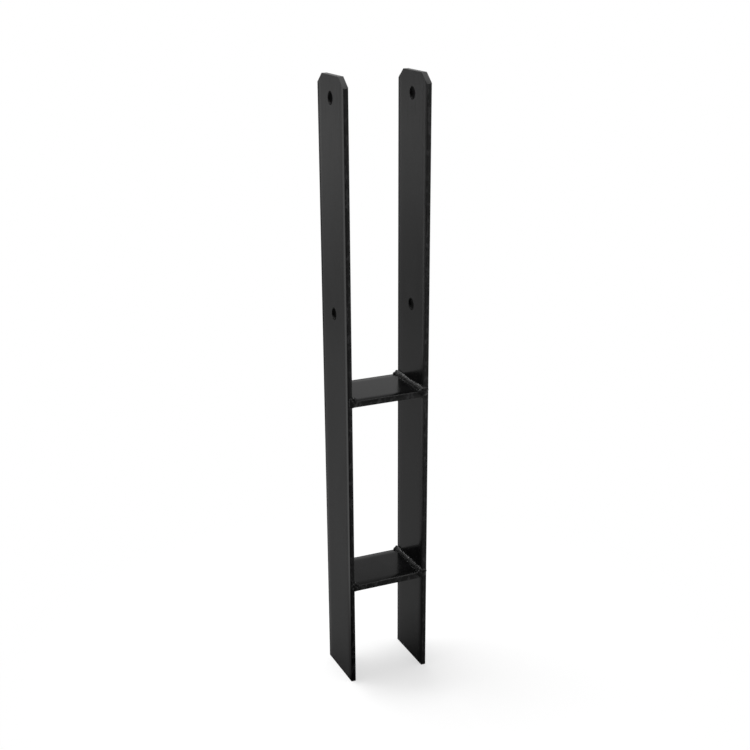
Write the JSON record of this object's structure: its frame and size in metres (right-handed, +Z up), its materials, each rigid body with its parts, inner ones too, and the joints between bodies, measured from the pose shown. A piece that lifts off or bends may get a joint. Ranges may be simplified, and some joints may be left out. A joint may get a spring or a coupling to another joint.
{
  "type": "h-shaped post anchor bracket",
  "caption": "Welded flat-bar post anchor: two tall legs joined by two crossbars, with a fork above for a square post and feet below to set in concrete.",
  "frame": {"origin": "on the ground, midway between the two feet", "axes": "+Z up along the legs, X along the crossbars from the left leg to the right leg, Y across the width of the flat bars"},
  "size_m": [0.085, 0.0644, 0.6],
  "materials": {
    "coated_steel": "satin black coating",
    "coated_weld": "satin black coating over a rippled weld bead"
  },
  "bodies": {
    "root": {"left_leg": "coated_steel", "right_leg": "coated_steel", "upper_crossbar": "coated_steel", "lower_crossbar": "coated_steel", "upper_left_top_weld": "coated_weld", "upper_left_under_weld": "coated_weld", "upper_right_top_weld": "coated_weld", "upper_right_under_weld": "coated_weld", "lower_left_top_weld": "coated_weld", "lower_left_under_weld": "coated_weld", "lower_right_top_weld": "coated_weld", "lower_right_under_weld": "coated_weld"}
  },
  "joints": []
}
